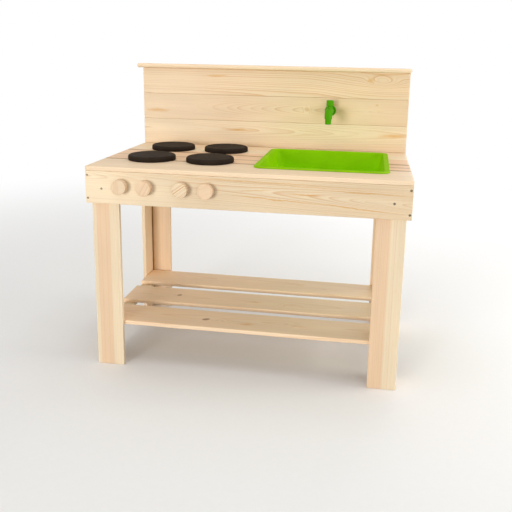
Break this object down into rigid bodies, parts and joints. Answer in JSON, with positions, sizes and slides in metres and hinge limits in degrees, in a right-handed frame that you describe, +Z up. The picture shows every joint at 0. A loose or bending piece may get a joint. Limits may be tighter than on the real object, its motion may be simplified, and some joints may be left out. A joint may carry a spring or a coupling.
{
  "type": "mud kitchen",
  "caption": "Child's wooden mud kitchen: slatted bench with hob discs and turning knobs, drop-in plastic sink, tap on a board backsplash, and an open slatted shelf below.",
  "frame": {"origin": "on the floor, at the centre of the whole outline", "axes": "+X to the user's right along the bench, +Y from the user towards the backsplash, +Z up"},
  "size_m": [0.922, 0.549, 0.8732],
  "materials": {
    "front_boards": "planed pine, clear and pale",
    "frame_boards": "planed pine",
    "leg_boards": "planed pine with a pinkish heartwood strip",
    "worktop_boards": "planed pine, the middle plank with reddish stripes",
    "backsplash_boards": "planed pine with arched grain",
    "shelf_boards": "planed pine with small knots",
    "hob_discs": "wooden discs painted dark grey-brown, satin",
    "sink": "lime-green moulded plastic",
    "tap": "green moulded plastic",
    "tap_nut": "green moulded plastic",
    "knobs": "sawn and sanded pine discs",
    "knob_spacers": "pale nylon washers",
    "screws": "zinc-plated countersunk screws"
  },
  "bodies": {
    "bench": {"front_apron": "front_boards", "rear_apron": "frame_boards", "side_apron_left": "frame_boards", "side_apron_right": "frame_boards", "leg_face_front_left": "leg_boards", "leg_face_front_right": "leg_boards", "leg_face_rear_left": "leg_boards", "leg_face_rear_right": "leg_boards", "leg_side_front_left": "leg_boards", "leg_side_front_right": "leg_boards", "leg_side_rear_left": "leg_boards", "leg_side_rear_right": "leg_boards", "worktop_plank_front": "worktop_boards", "worktop_plank_middle_left": "worktop_boards", "worktop_plank_middle_right": "worktop_boards", "worktop_plank_rear": "worktop_boards", "worktop_batten_left": "frame_boards", "worktop_batten_right": "frame_boards", "backsplash_board_lower": "backsplash_boards", "backsplash_board_middle": "backsplash_boards", "backsplash_board_upper": "backsplash_boards", "backsplash_post_left": "frame_boards", "backsplash_post_right": "frame_boards", "backsplash_cap": "front_boards", "shelf_plank_front": "shelf_boards", "shelf_plank_middle": "shelf_boards", "shelf_plank_rear": "shelf_boards", "shelf_batten_left": "frame_boards", "shelf_batten_right": "frame_boards", "hob_disc_front_left": "hob_discs", "hob_disc_front_right": "hob_discs", "hob_disc_rear_left": "hob_discs", "hob_disc_rear_right": "hob_discs", "tap_flange": "tap", "tap_body": "tap", "tap_nut": "tap_nut", "knob_spacer_1": "knob_spacers", "knob_spacer_2": "knob_spacers", "knob_spacer_3": "knob_spacers", "knob_spacer_4": "knob_spacers", "apron_screw_left_upper": "screws", "apron_screw_left_lower": "screws", "apron_screw_left_inner": "screws", "apron_screw_right_upper": "screws", "apron_screw_right_lower": "screws", "apron_screw_right_inner": "screws", "shelf_screw_front_left": "screws", "shelf_screw_front_right": "screws", "shelf_screw_rear_left": "screws", "shelf_screw_rear_right": "screws"},
    "sink": {"sink_basin": "sink"},
    "tap_handle": {"tap_handle": "tap"},
    "knob_1": {"knob_1": "knobs", "knob_screw_1": "screws"},
    "knob_2": {"knob_2": "knobs", "knob_screw_2": "screws"},
    "knob_3": {"knob_3": "knobs", "knob_screw_3": "screws"},
    "knob_4": {"knob_4": "knobs", "knob_screw_4": "screws"}
  },
  "joints": [
    {"name": "sink_lift", "type": "slide", "parent": "bench", "child": "sink", "axis": [0, 0, 1], "range_m": [0, 0.1]},
    {"name": "tap_handle_turn", "type": "hinge", "parent": "bench", "child": "tap_handle", "pos_m": [0.2035, 0.21615, 0.7586], "axis": [0, 0, 1], "range_deg": [-90, 0]},
    {"name": "knob_1_turn", "type": "hinge", "parent": "bench", "child": "knob_1", "pos_m": [-0.3385, -0.26445, 0.5477], "axis": [0, 1, 0], "continuous": true},
    {"name": "knob_2_turn", "type": "hinge", "parent": "bench", "child": "knob_2", "pos_m": [-0.2675, -0.26445, 0.5477], "axis": [0, 1, 0], "continuous": true},
    {"name": "knob_3_turn", "type": "hinge", "parent": "bench", "child": "knob_3", "pos_m": [-0.1645, -0.26445, 0.5477], "axis": [0, 1, 0], "continuous": true},
    {"name": "knob_4_turn", "type": "hinge", "parent": "bench", "child": "knob_4", "pos_m": [-0.0935, -0.26445, 0.5477], "axis": [0, 1, 0], "continuous": true}
  ]
}
